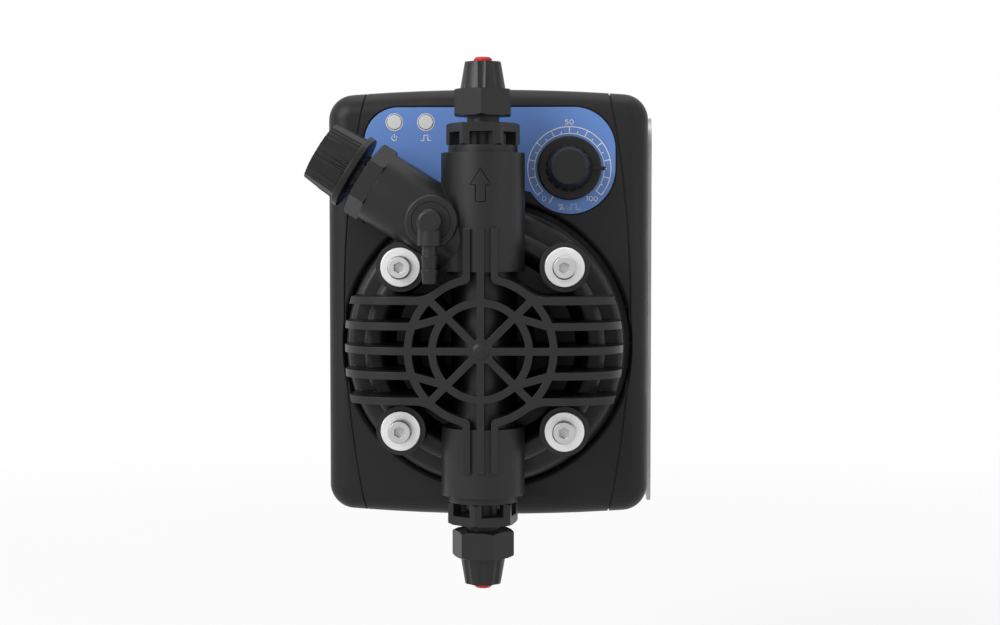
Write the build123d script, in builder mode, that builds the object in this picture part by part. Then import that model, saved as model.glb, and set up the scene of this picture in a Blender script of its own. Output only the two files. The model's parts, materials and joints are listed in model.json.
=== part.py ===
from build123d import *
import os
from math import asin, cos, degrees, hypot, radians, sin, sqrt

# Diaphragm metering pump with an analogue stroke-rate dial, built from separate pieces.
# Millimetres. X to the right, Z up, the wall at Y = 0 and the front at -Y. The origin is the
# centre of the wall bracket's four holes, straight behind the centre of the pump head.
# A "depth" is the distance in front of the wall, so a point at depth d has Y = -d.

os.makedirs("parts", exist_ok=True)

# ---------------------------------------------------------------- clearances
fit_gap = 0.05          # running fit, radial
slip_gap = 0.15         # loose fit of fixed pieces, radial
free_gap = 0.3          # between pieces that pass each other
seat_gap = 0.02         # a ball or cone resting in its seat
through = 0.5           # how far a cut runs past a face, and a joined form into its neighbour

# ---------------------------------------------------------------- case
case_half_width = 49.9
case_top_z = 77.0       # at the side edges, before rounding
case_bottom_z = -51.9
case_crown = 2.15        # rise of the top and bottom edges at mid width
case_corner_r = 8.0
case_edge_r = 6.5       # front edge rounding
case_back_edge_r = 2.0
case_wall = 3.0
case_back = 2.0         # depth of the case's back face, on the bracket's plate
case_parting = 57.0     # depth of the joint between housing and cover
case_face = 88.0        # depth of the flat front face
seam_bow_inset = 5.8    # from the case's sides to the two bowed seams, where they are widest apart
seam_end_inset = 12.6   # and at the top and bottom edges
seam_bow_x = case_half_width - seam_bow_inset
seam_end_x = case_half_width - seam_end_inset
seam_mid_z = 6.0
seam_width = 0.5
seam_cut = 0.45

bracket_plate = 2.0
cheek_t = 1.2
cheek_gap = 0.8         # between the case and each cheek
cheek_reach = 57.0
cheek_top_z = 72.0
cheek_bottom_z = -53.5
cheek_top_r = 10.0
cheek_bottom_r = 3.0
wall_hole_r = 2.6
wall_pitch_x = 60.0
wall_pitch_z = 72.0
bolt_room_r = 6.5       # pocket in the housing for each wall bolt's head
bolt_room_depth = 6.0
pocket_wall = 2.0
side_screw_depth = 30.0
side_screw_z = -38.0
side_screw_r = 2.0
side_screw_head_r = 3.6
side_screw_length = 9.0
side_boss_r = 4.5

case_screw_inset = 7.9       # from the case's sides, top and bottom
case_screw_top_inset = 9.2
case_screw_bottom_inset = 7.7
case_screw_x = case_half_width - case_screw_inset
case_screw_top_z = case_top_z - case_screw_top_inset
case_screw_bottom_z = case_bottom_z + case_screw_bottom_inset
case_screw_r = 1.5
case_screw_head_r = 3.0
case_screw_head_h = 2.6
case_screw_flange = 12.0     # thickness left under the head
case_screw_bite = 10.0       # length in the cover's boss
case_column_r = 5.4
gasket_inset = 0.8
gasket_width = 1.3
gasket_t = 1.2

# ---------------------------------------------------------------- cable gland
gland_x = -24.0
gland_depth = 26.0
gland_cable_r = 3.5
gland_thread_r = 6.0
gland_hex_af = 15.0
gland_hex_h = 5.0
gland_hex_bevel = 0.8
gland_inner_length = 10.0
gland_nut_af = 15.0
gland_nut_h = 3.5
gland_nut_bevel = 0.6
gland_seal_h = 4.0
gland_seal_wall = 1.4

# ---------------------------------------------------------------- label, dial and lamps
label_t = 0.6
label_gap = 0.5
label_left_inset = 11.9
label_right_inset = 10.2
label_left_x = label_left_inset - case_half_width
label_right_x = case_half_width - label_right_inset
label_top_gap = 3.7     # from the case's top
label_top_z = case_top_z - label_top_gap
label_low_z = 38.0
label_left_corner_r = 10.5
label_right_corner_r = 13.0
label_bite_r = 49.0     # the label's lower edge follows the head
dial_inset = 24.4       # from the case's right side
dial_x = case_half_width - dial_inset
dial_z = 54.5
label_lobe_r = 14.1     # rounded end of the label round the dial
lamp_insets = (9.3, 19.1)    # from the label's left end
lamp_x = [label_left_x + inset for inset in lamp_insets]
lamp_drop = 4.55        # below the label's top
lamp_z = label_top_z - lamp_drop
lamp_r = 2.25
lamp_proud = 0.3

dial_flange_r = 9.85
dial_flange_t = 1.8
dial_lift = 0.6         # gap between the label and the knob
dial_grip_r = 7.2
dial_grip_top_r = 5.5
dial_grip_h = 11.5
dial_notches = 16
dial_notch_r = 0.6
dial_notch_at = 6.9
dial_round = 0.5
dial_flange_round = 0.6
dial_pointer_deg = 91.0      # clockwise from the top
dial_pointer_reach = 11.15
dial_pointer_w = 1.1
dial_pointer_h = 1.0
dial_pointer_sunk = 0.2      # into the flange
dial_bore_depth = 8.0
dial_shaft_r = 3.0
pot_size = 12.0
pot_t = 6.0
pot_neck_r = 4.5

board_t = 1.6
board_room = 9.4        # between the control board and the cover's inside
board_depth = case_face - case_wall - board_room - board_t
board_inset = 14.9
board_half_width = case_half_width - board_inset
board_low_z = 36.0
board_high_z = 73.0
board_screw_inset = 4.0
board_screw_x = board_half_width - board_screw_inset
board_screw_z = 41.0
board_boss_r = 3.0
board_screw_r = 1.25
board_screw_head_r = 2.3
board_screw_head_h = 1.6
board_screw_bite = 5.0

# ---------------------------------------------------------------- pump head
flange_r = 42.6
recess_gap = 1.8        # round the head's flange
recess_r = flange_r + recess_gap
recess_depth = 4.0
recess_floor = case_face - recess_depth
recess_wall = 4.0
recess_round = 1.7
recess_notches = 24
recess_notch_w = 0.8
recess_notch_depth = 0.45
support_t = 3.0
head_back = recess_floor + support_t     # depth of the head's back face
flange_t = 11.0
flange_front = head_back + flange_t
flange_round = 1.9
flange_lip = 0.5         # step at the flange's rim, and its distance behind the front
flange_lip_back = 2.4
flange_lip_depth = flange_front - flange_lip_back
floor_t = 8.0
floor_depth = head_back + floor_t        # floor of the pocket inside the raised ring
ring_outer_r = 36.6
ring_top_r = 30.3        # inner edge of the raised ring's front
ring_foot_r = 27.6       # and its foot on the pocket's floor
ring_h = 5.5
ring_front = flange_front + ring_h
ring_outer_round = 2.4
ring_inner_round = 3.0
screw_pitch = 48.8
screw_boss_r = 7.4
screw_boss_h = 17.5
screw_boss_front = floor_depth + screw_boss_h
screw_r = 2.0
screw_head_r = 3.5
screw_head_h = 4.0
screw_head_bevel = 0.4
screw_socket_af = 3.0
screw_socket_depth = 2.2
screw_tip_inset = 1.0    # the screws end this far inside the drive plate
washer_r = 6.0
washer_t = 1.0
washer_bevel = 0.25
port_standoff = 22.0
port_depth = head_back + port_standoff   # depth of the ports' vertical axis
column_r = 9.5
boss_r = 12.5
boss_top_z = 58.4
boss_top_from_z = 23.2
boss_bottom_z = -43.6
boss_bottom_from_z = -23.2
duct_r = 2.4

web_proud = 0.8          # in front of the port bosses
web_front = port_depth + boss_r + web_proud
web_round = 18.3        # how the ribs curve back at both sides
web_inset = 0.6          # behind the flange's rim
web_r = flange_r - web_inset
outer_ring_r = 21.4
web_sweep_gap = 11.4
web_sweep_r = outer_ring_r - web_sweep_gap        # how the outer ring runs into the first and last rows
web_turn_r = 1.9        # and turns into the uprights
web_inside_r = 0.9
rib_w = 2.25
side_rib_w = 2.1
hub_r = 3.8
hub_dome_r = 2.5
hub_dome_h = 0.9
hub_dome_edge_h = 0.2
hub_dome_bend_r = 1.75
hub_dome_bend_h = 0.68
inner_ring_r = 14.25
rib_rows_z = (7.25, 14.75)
upright_x = 4.15
upright_top_z = 36.0
arrow_half_w = 3.4
arrow_tip_z = 53.8
arrow_head_h = 5.3
arrow_shaft_half_w = 1.6
arrow_length = 10.1
arrow_line = 0.3
arrow_cut = 0.12

# ---------------------------------------------------------------- diaphragm and drive
support_inset = 0.6
support_r = flange_r - support_inset
support_bore_r = 24.0
diaphragm_r = 31.0
diaphragm_rim_t = 1.9
diaphragm_web_t = 1.2
diaphragm_hub_r = 8.0
diaphragm_hub_t = 3.2
diaphragm_hub_slope = 2.0
diaphragm_rim_slope = 1.0
insert_r = 6.0
insert_t = 2.0
chamber_r = 25.0
chamber_depth = 4.6
stroke = 1.0
drive_plate_half = 31.0
drive_plate_t = 6.0
drive_plate_corner_r = 4.0
yoke_r = 27.0
yoke_wall = 3.0
yoke_length = 38.0
bobbin_bore_r = 11.0
bobbin_wall = 1.4
bobbin_flange_t = 1.8
coil_r = 22.0
pole_r = 10.9
pole_length = 14.0
armature_r = 10.7
armature_length = 17.0
armature_bevel = 0.8
shaft_from_end = 2.0       # the shaft starts this far inside the armature
bumper_t = 1.4
bumper_r = 8.0
shaft_r = 3.0
bush_r = 5.0
bush_length = 8.0
bush_sunk = 1.0
spring_wire_r = 0.45
spring_mean_r = 4.4
spring_well_r = 5.4
spring_turns = 4.5
spring_well_depth = 6.0

# ---------------------------------------------------------------- valves and tube fittings
well_r = 8.0
discharge_well = 19.9
suction_well = 19.9
seat_h = 4.2
seat_bore_r = 2.2
ball_r = 3.0
ball_lift = 1.2
cage_r = 3.8
collar_r = 10.35
collar_h = 2.15
valve_hex_af = 19.0
valve_hex_h = 6.65
valve_hex_bevel = 0.9
window_w = 6.8
window_h = 3.9
window_from = 2.2       # above the boss's face
window_core_r = 4.4
spigot_r = 4.85
spigot_length = 8.0
spigot_neck = 2.1       # visible between hexagon and nut
nut_af = 16.4
nut_hex_h = 8.0
nut_bevel = 1.0
cone_base_r = 6.8
cone_tip_r = 5.45
cone_h = 8.1
cone_flutes = 8
cone_flute_r = 2.2
cone_flute_depth = 0.35
tube_r = 3.05           # bore for a tube of 6 mm
ferrule_h = 2.6
plug_r = 2.72
plug_proud = 1.4
plug_bevel = 0.6
oring_r = 0.75
oring_gap = 0.05
oring_from_end = 4.0
discharge_hex_turn = 0.0
discharge_nut_turn = 30.0
suction_hex_turn = -20.5
suction_nut_turn = 9.0

# ---------------------------------------------------------------- bleed valve
bleed_z = 29.0          # where its axis meets the ports' axis
bleed_tilt = 31.8       # above horizontal, towards the upper left
bleed_boss_r = 10.9
bleed_boss_end = 37.1   # distances along the bleed axis from here on
bleed_well_r = 5.5
bleed_well_from = 13.0
bleed_seat_r = 2.0
bush_well_r = 8.1
bush_well_from = 26.0
bleed_hex_af = 20.4
bleed_hex_h = 5.0
bleed_lugs = 4
bleed_lug_r = 5.45
bleed_lug_w = 2.4
bleed_lug_t = 2.2
bleed_lug_h = 1.9
needle_r = 4.0
needle_tip_r = 1.5
needle_cone = 3.1
needle_groove_from = 19.0
needle_end = 51.0
knob_gap = 2.4
knob_flange_r = 11.5
knob_flange_t = 2.15
knob_flange_round = 0.43
knob_r = 10.25
knob_end_r = 9.45
knob_length = 10.6
knob_flats = 8
knob_grooves_per_flat = 3
knob_groove_r = 0.5
knob_groove_deg = 9.0
knob_flat_w = 3.6
knob_flat_cut = 0.3
bleed_hex_turn = 30.0
bleed_hex_bevel = 0.6

outlet_x = -14.6
outlet_z = 38.0
outlet_boss_r = 7.85
outlet_reach = 12.0
outlet_boss_front = port_depth + outlet_reach
outlet_well_r = 5.8
outlet_well_t = 4.5
outlet_well_floor = outlet_boss_front - outlet_well_t
outlet_duct_r = 1.6
outlet_round = 0.7
elbow_knee_r = 3.65
elbow_knee_round = 1.3
elbow_body_r = 3.5
elbow_lip = 1.0         # spigot left beyond the O-ring's groove
elbow_reach = 4.4       # from the boss's face to the elbow's own axis
elbow_body_drop = 7.0
elbow_neck_r = 2.14
elbow_neck_drop = 9.9
barb_r = 2.47
barb_tip_r = 2.05
barb_length = 4.1
barb_edge = 0.3
barb_count = 2
elbow_bore_r = 1.1


def front(depth):
    """Plane that faces the user at this depth, drawn with X to the right and Z up."""
    return Plane.XZ.offset(depth)


def upward(z):
    """Plane across the ports' axis at this height, facing up."""
    return Plane(origin=(0, -port_depth, z), x_dir=(1, 0, 0), z_dir=(0, 0, 1))


def downward(z):
    """Plane across the ports' axis at this height, facing down."""
    return Plane(origin=(0, -port_depth, z), x_dir=(1, 0, 0), z_dir=(0, 0, -1))


def turned(plane, points, mode=Mode.ADD, rounds=()):
    """Revolves a closed outline of (radius, height) points about the plane's own axis.

    rounds holds (corner, radius) pairs for the outline's rounded corners."""
    with BuildSketch(Plane(origin=plane.origin, x_dir=plane.x_dir, z_dir=-plane.y_dir)) as outline:
        with BuildLine():
            Polyline(*points, close=True)
        make_face()
        for corner, corner_r in rounds:
            fillet(outline.vertices().sort_by_distance(corner)[0], corner_r)
    revolve(outline.sketch, axis=Axis(plane.origin, plane.z_dir), mode=mode)


def hexagon(plane, across_flats, height, bevel, turn=0.0):
    """Hexagonal prism with both ends' corners bevelled, as a separate form."""
    corner = across_flats / sqrt(3)
    with BuildPart() as form:
        with BuildSketch(plane):
            RegularPolygon(across_flats / 2, 6, major_radius=False, rotation=turn)
        extrude(amount=height)
        turned(
            plane,
            [
                (0, 0),
                (corner - bevel, 0),
                (corner, bevel / 2),
                (corner, height - bevel / 2),
                (corner - bevel, height),
                (0, height),
            ],
            mode=Mode.INTERSECT,
        )
    return form.part


def case_form(back, face, inset, edge_r):
    """Crowned case outline shrunk by inset, from one depth to another, front edge rounded."""
    half = case_half_width - inset
    top = case_top_z - inset
    bottom = case_bottom_z + inset
    with BuildPart() as form:
        with BuildSketch(front(back)) as outline:
            with BuildLine():
                ThreePointArc((-half, top), (0, top + case_crown), (half, top))
                Line((half, top), (half, bottom))
                ThreePointArc((half, bottom), (0, bottom - case_crown), (-half, bottom))
                Line((-half, bottom), (-half, top))
            make_face()
            fillet(outline.vertices(), case_corner_r - inset)
        extrude(amount=face - back)
        if edge_r > 0:
            fillet(form.faces().sort_by(Axis.Y)[0].edges(), edge_r)
    return form.part


def label_form(depth, thickness, margin):
    """The label's outline, grown by margin: a rounded sheet with a round lobe at the dial."""
    with BuildPart() as form:
        with BuildSketch(front(depth)) as outline:
            left, right = label_left_x - margin, label_right_x + margin
            low, top = label_low_z - margin, label_top_z + margin
            with BuildLine():
                Polyline(
                    (left, top),
                    (right, top),
                    (right, dial_z),
                    (dial_x, dial_z),
                    (dial_x, low),
                    (left, low),
                    close=True,
                )
            make_face()
            fillet(outline.vertices().sort_by_distance((left, top))[0], label_left_corner_r + margin)
            fillet(outline.vertices().sort_by_distance((right, top))[0], label_right_corner_r + margin)
            Circle(label_bite_r - margin, mode=Mode.SUBTRACT)
            with Locations((right - label_lobe_r - margin, dial_z)):
                Circle(label_lobe_r + margin)
        extrude(amount=thickness)
    return form.part


def finish(piece, name):
    """Names a finished piece and writes it out."""
    piece.part.label = name
    export_step(piece.part, f"parts/{name}.step")


head_screw_spots = GridLocations(screw_pitch, screw_pitch, 2, 2)
wall_spots = GridLocations(wall_pitch_x, wall_pitch_z, 2, 2)
case_screw_points = [
    (side * case_screw_x, z) for side in (-1, 1) for z in (case_screw_bottom_z, case_screw_top_z)
]
board_screw_points = [(side * board_screw_x, board_screw_z) for side in (-1, 1)]
cover_inside = case_face - case_wall
label_back = case_face - label_t

# ================================================================ wall bracket
cheek_outer_x = case_half_width + cheek_gap + cheek_t
with BuildPart() as wall_bracket:
    with BuildSketch(Plane.YZ.offset(-cheek_outer_x)):
        with BuildLine():
            Polyline(
                (0, cheek_bottom_z),
                (-cheek_reach, cheek_bottom_z),
                (-cheek_reach, cheek_top_z),
                (0, cheek_top_z),
                close=True,
            )
        make_face()
    extrude(amount=2 * cheek_outer_x)
    front_edges = wall_bracket.edges().filter_by(Axis.X).group_by(Axis.Y)[0].sort_by(Axis.Z)
    fillet(front_edges[0], cheek_bottom_r)
    fillet(wall_bracket.edges().filter_by(Axis.X).group_by(Axis.Y)[0].sort_by(Axis.Z)[-1], cheek_top_r)
    with BuildSketch(front(bracket_plate)):
        with Locations((0, (cheek_top_z + cheek_bottom_z) / 2)):
            Rectangle(2 * (case_half_width + cheek_gap), 2 * (cheek_top_z - cheek_bottom_z))
    extrude(amount=cheek_reach, mode=Mode.SUBTRACT)
    with BuildSketch(front(0)):
        with wall_spots:
            Circle(wall_hole_r)
    extrude(amount=bracket_plate, mode=Mode.SUBTRACT)
    for side in (-1, 1):
        spot = Plane(
            origin=(side * cheek_outer_x, -side_screw_depth, side_screw_z),
            x_dir=(0, 1, 0),
            z_dir=(-side, 0, 0),
        )
        turned(
            spot,
            [
                (0, 0),
                (side_screw_head_r + slip_gap, 0),
                (side_screw_head_r + slip_gap - cheek_t, cheek_t),
                (0, cheek_t),
            ],
            mode=Mode.SUBTRACT,
        )
finish(wall_bracket, "wall_bracket")

# ================================================================ case gasket
with BuildPart() as case_gasket:
    add(case_form(case_parting - gasket_t, case_parting, gasket_inset, 0))
    gasket_inside = gasket_inset + gasket_width
    add(case_form(case_parting - gasket_t, case_parting, gasket_inside, 0), mode=Mode.SUBTRACT)
finish(case_gasket, "case_gasket")

# ================================================================ rear housing
housing_outer = case_form(case_back, case_parting, 0, 0)
housing_inner = case_form(case_back + case_wall, case_parting + case_wall, case_wall, 0)
with BuildPart() as rear_housing:
    add(housing_outer)
    fillet(rear_housing.faces().sort_by(Axis.Y)[-1].edges(), case_back_edge_r)
    add(housing_inner, mode=Mode.SUBTRACT)
    with BuildSketch(front(case_back + case_wall)):
        with Locations(*case_screw_points):
            Circle(case_column_r)
    extrude(amount=case_parting - case_back - case_wall)
    with BuildSketch(front(case_back)):
        with wall_spots:
            Circle(bolt_room_r + pocket_wall)
    extrude(amount=bolt_room_depth + pocket_wall)
    for side in (-1, 1):
        with BuildSketch(
            Plane(
                origin=(side * (case_half_width - case_wall / 2), -side_screw_depth, side_screw_z),
                x_dir=(0, 1, 0),
                z_dir=(-side, 0, 0),
            )
        ):
            Circle(side_boss_r)
        extrude(amount=side_screw_length)
    with BuildSketch(front(case_back)):
        with Locations(*case_screw_points):
            Circle(case_screw_head_r + slip_gap)
    extrude(amount=case_parting - case_back - case_screw_flange, mode=Mode.SUBTRACT)
    with BuildSketch(front(case_back)):
        with Locations(*case_screw_points):
            Circle(case_screw_r + slip_gap)
    extrude(amount=case_parting - case_back, mode=Mode.SUBTRACT)
    with BuildSketch(front(case_back)):
        with wall_spots:
            Circle(bolt_room_r)
    extrude(amount=bolt_room_depth, mode=Mode.SUBTRACT)
    for side in (-1, 1):
        with BuildSketch(
            Plane(
                origin=(side * case_half_width, -side_screw_depth, side_screw_z),
                x_dir=(0, 1, 0),
                z_dir=(-side, 0, 0),
            )
        ):
            Circle(side_screw_r + fit_gap)
        extrude(amount=side_screw_length - cheek_t - cheek_gap + free_gap, mode=Mode.SUBTRACT)
    gland_hole_z = case_bottom_z + 2 * case_wall
    with BuildSketch(Plane(origin=(gland_x, -gland_depth, gland_hole_z), z_dir=(0, 0, -1))):
        Circle(gland_thread_r + fit_gap)
    extrude(amount=4 * case_wall, mode=Mode.SUBTRACT)
    add(case_gasket.part, mode=Mode.SUBTRACT)
finish(rear_housing, "rear_housing")

# ================================================================ front cover
cover_outer = case_form(case_parting, case_face, 0, case_edge_r)
cover_core = case_form(case_parting, cover_inside, case_wall, case_edge_r - case_wall)
seam_floor = case_form(case_parting, case_face - seam_cut, seam_cut, case_edge_r)
label_room = label_form(label_back, label_t + through, label_gap)
with BuildPart() as seams:
    for side in (-1, 1):
        with BuildSketch(front(case_parting)):
            with BuildLine():
                for x_shift in (0, seam_width):
                    ThreePointArc(
                        (side * (seam_end_x + x_shift), case_bottom_z - case_crown),
                        (side * (seam_bow_x + x_shift), seam_mid_z),
                        (side * (seam_end_x + x_shift), case_top_z + case_crown),
                    )
                Line(
                    (side * seam_end_x, case_top_z + case_crown),
                    (side * (seam_end_x + seam_width), case_top_z + case_crown),
                )
                Line(
                    (side * seam_end_x, case_bottom_z - case_crown),
                    (side * (seam_end_x + seam_width), case_bottom_z - case_crown),
                )
            make_face()
        extrude(amount=case_face - case_parting + through)
    add(seam_floor, mode=Mode.SUBTRACT)

with BuildPart() as front_cover:
    add(cover_outer)
    add(cover_core, mode=Mode.SUBTRACT)
    with BuildSketch(front(case_parting)):
        with Locations(*case_screw_points):
            Circle(case_column_r)
    extrude(amount=cover_inside - case_parting + through)
    with BuildSketch(front(board_depth + board_t)):
        with Locations(*board_screw_points):
            Circle(board_boss_r)
    extrude(amount=cover_inside - board_depth - board_t + through)
    with BuildSketch(front(recess_floor - recess_wall)):
        Circle(recess_r + case_wall)
    extrude(amount=cover_inside - recess_floor + recess_wall + through)
    add(cover_outer, mode=Mode.INTERSECT)
    add(seams.part, mode=Mode.SUBTRACT)
    turned(
        front(0),
        [
            (0, recess_floor),
            (recess_r, recess_floor),
            (recess_r, case_face),
            (recess_r + 2 * recess_round, case_face),
            (recess_r + 2 * recess_round, case_face + through),
            (0, case_face + through),
        ],
        mode=Mode.SUBTRACT,
        rounds=(((recess_r, case_face), recess_round),),
    )
    with BuildSketch(front(recess_floor + recess_wall / 2)):
        with PolarLocations(recess_r, recess_notches):
            Rectangle(2 * recess_notch_depth, recess_notch_w)
    extrude(amount=case_face - recess_floor, mode=Mode.SUBTRACT)
    add(label_room, mode=Mode.SUBTRACT)
    with BuildSketch(front(recess_floor - recess_wall)):
        Circle(support_bore_r)
        with head_screw_spots:
            Circle(screw_r + slip_gap)
    extrude(amount=recess_wall + through, mode=Mode.SUBTRACT)
    with BuildSketch(front(cover_inside - through)):
        with Locations((dial_x, dial_z)):
            Circle(pot_neck_r + slip_gap)
        with Locations(*[(x, lamp_z) for x in lamp_x]):
            Circle(lamp_r + slip_gap)
    extrude(amount=case_wall + 2 * through, mode=Mode.SUBTRACT)
    with BuildSketch(front(case_parting)):
        with Locations(*case_screw_points):
            Circle(case_screw_r)
    extrude(amount=case_screw_bite + 2 * through, mode=Mode.SUBTRACT)
    with BuildSketch(front(board_depth + board_t)):
        with Locations(*board_screw_points):
            Circle(board_screw_r)
    extrude(amount=board_screw_bite + through, mode=Mode.SUBTRACT)
finish(front_cover, "front_cover")

# ================================================================ case, bracket and board screws
screw_seat = case_parting - case_screw_flange
with BuildPart() as case_screws:
    with BuildSketch(front(screw_seat - case_screw_head_h)):
        with Locations(*case_screw_points):
            Circle(case_screw_head_r)
    extrude(amount=case_screw_head_h)
    with BuildSketch(front(screw_seat)):
        with Locations(*case_screw_points):
            Circle(case_screw_r)
    extrude(amount=case_screw_flange + case_screw_bite)
finish(case_screws, "case_screws")

with BuildPart() as bracket_screws:
    for side in (-1, 1):
        turned(
            Plane(
                origin=(side * cheek_outer_x, -side_screw_depth, side_screw_z),
                x_dir=(0, 1, 0),
                z_dir=(-side, 0, 0),
            ),
            [
                (0, 0),
                (side_screw_head_r, 0),
                (side_screw_head_r - cheek_t, cheek_t),
                (side_screw_r, cheek_t),
                (side_screw_r, side_screw_length),
                (0, side_screw_length),
            ],
        )
finish(bracket_screws, "bracket_screws")

with BuildPart() as board_screws:
    with BuildSketch(front(board_depth - board_screw_head_h)):
        with Locations(*board_screw_points):
            Circle(board_screw_head_r)
    extrude(amount=board_screw_head_h)
    with BuildSketch(front(board_depth)):
        with Locations(*board_screw_points):
            Circle(board_screw_r)
    extrude(amount=board_t + board_screw_bite)
finish(board_screws, "board_screws")

# ================================================================ cable gland
gland_low_x = abs(gland_x) - gland_hex_af / sqrt(3)      # where the crowned bottom is lowest under it
gland_face = Plane(
    origin=(gland_x, -gland_depth, case_bottom_z - case_crown * (1 - (gland_low_x / case_half_width) ** 2)),
    x_dir=(1, 0, 0),
    z_dir=(0, 0, -1),
)
gland_seal_r = gland_cable_r + gland_seal_wall
with BuildPart() as gland_body:
    add(hexagon(gland_face, gland_hex_af, gland_hex_h, gland_hex_bevel))
    with BuildSketch(gland_face.offset(-gland_inner_length)):
        Circle(gland_thread_r)
    extrude(amount=gland_inner_length)
    with BuildSketch(gland_face.offset(-gland_inner_length)):
        Circle(gland_seal_r)
    extrude(amount=gland_inner_length, mode=Mode.SUBTRACT)
    with BuildSketch(gland_face):
        Circle(gland_cable_r)
    extrude(amount=gland_hex_h, mode=Mode.SUBTRACT)
finish(gland_body, "gland_body")

with BuildPart() as gland_seal:
    with BuildSketch(gland_face.offset(-gland_seal_h)):
        Circle(gland_seal_r)
        Circle(gland_cable_r, mode=Mode.SUBTRACT)
    extrude(amount=gland_seal_h)
finish(gland_seal, "gland_seal")

with BuildPart() as gland_locknut:
    nut_face = gland_face.offset(-gland_inner_length)
    add(hexagon(nut_face, gland_nut_af, gland_nut_h, gland_nut_bevel))
    with BuildSketch(nut_face):
        Circle(gland_thread_r + fit_gap)
    extrude(amount=gland_nut_h, mode=Mode.SUBTRACT)
finish(gland_locknut, "gland_locknut")

# ================================================================ label and lamps
with BuildPart() as front_label:
    add(label_form(label_back, label_t, 0))
    with BuildSketch(front(label_back)):
        with Locations((dial_x, dial_z)):
            Circle(pot_neck_r + slip_gap)
        with Locations(*[(x, lamp_z) for x in lamp_x]):
            Circle(lamp_r + slip_gap)
    extrude(amount=label_t, mode=Mode.SUBTRACT)
finish(front_label, "front_label")

with BuildPart() as lamp_lenses:
    with BuildSketch(front(board_depth + board_t)):
        with Locations(*[(x, lamp_z) for x in lamp_x]):
            Circle(lamp_r)
    extrude(amount=case_face + lamp_proud - board_depth - board_t)
    fillet(lamp_lenses.faces().group_by(Axis.Y)[0].edges(), lamp_proud - fit_gap)
finish(lamp_lenses, "lamp_lenses")

# ================================================================ control board and dial
with BuildPart() as control_board:
    with BuildSketch(front(board_depth)):
        with Locations((0, (board_low_z + board_high_z) / 2)):
            Rectangle(2 * board_half_width, board_high_z - board_low_z)
        with Locations(*board_screw_points):
            Circle(board_screw_r + slip_gap, mode=Mode.SUBTRACT)
    extrude(amount=board_t)
finish(control_board, "control_board")

pot_back = board_depth + board_t
pot_front = pot_back + pot_t
shaft_back = pot_back + pot_t / 2
with BuildPart() as potentiometer:
    with BuildSketch(front(pot_back)):
        with Locations((dial_x, dial_z)):
            Rectangle(pot_size, pot_size)
    extrude(amount=pot_t)
    with BuildSketch(front(pot_front)):
        with Locations((dial_x, dial_z)):
            Circle(pot_neck_r)
    extrude(amount=case_face - pot_front)
    with BuildSketch(front(shaft_back - free_gap)):
        with Locations((dial_x, dial_z)):
            Circle(dial_shaft_r + fit_gap)
    extrude(amount=case_face - shaft_back + free_gap, mode=Mode.SUBTRACT)
finish(potentiometer, "potentiometer")

dial_back = case_face + dial_lift
with BuildPart() as dial_shaft:
    with BuildSketch(front(shaft_back)):
        with Locations((dial_x, dial_z)):
            Circle(dial_shaft_r)
    extrude(amount=dial_back + dial_bore_depth - shaft_back)
finish(dial_shaft, "dial_shaft")

grip_narrows = dial_grip_r - dial_grip_top_r
grip_taper = degrees(asin(grip_narrows / hypot(dial_grip_h, grip_narrows)))
with BuildPart() as dial_knob:
    with BuildSketch(front(dial_back)):
        with Locations((dial_x, dial_z)):
            Circle(dial_flange_r)
    extrude(amount=dial_flange_t)
    fillet(dial_knob.faces().sort_by(Axis.Y)[0].edges(), dial_flange_round)
    with BuildSketch(front(dial_back + dial_flange_t)):
        with Locations((dial_x, dial_z)):
            Circle(dial_grip_r)
    extrude(amount=dial_grip_h, taper=grip_taper)
    fillet(dial_knob.faces().sort_by(Axis.Y)[0].edges(), dial_round)
    # grooves along the axis, which run out where the tapered grip leaves them
    with BuildSketch(front(dial_back + dial_flange_t)):
        with Locations((dial_x, dial_z)):
            with PolarLocations(dial_notch_at, dial_notches):
                Circle(dial_notch_r)
    extrude(amount=dial_grip_h, mode=Mode.SUBTRACT)
    with BuildSketch(front(dial_back + dial_flange_t - dial_pointer_sunk)):
        with Locations(Location((dial_x, dial_z), 90 - dial_pointer_deg)):
            with Locations(((dial_grip_top_r + dial_pointer_reach) / 2, 0)):
                Rectangle(dial_pointer_reach - dial_grip_top_r, dial_pointer_w)
    extrude(amount=dial_pointer_h + dial_pointer_sunk)
    with BuildSketch(front(dial_back)):
        with Locations((dial_x, dial_z)):
            Circle(dial_shaft_r)
    extrude(amount=dial_bore_depth, mode=Mode.SUBTRACT)
finish(dial_knob, "dial_knob")

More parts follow.
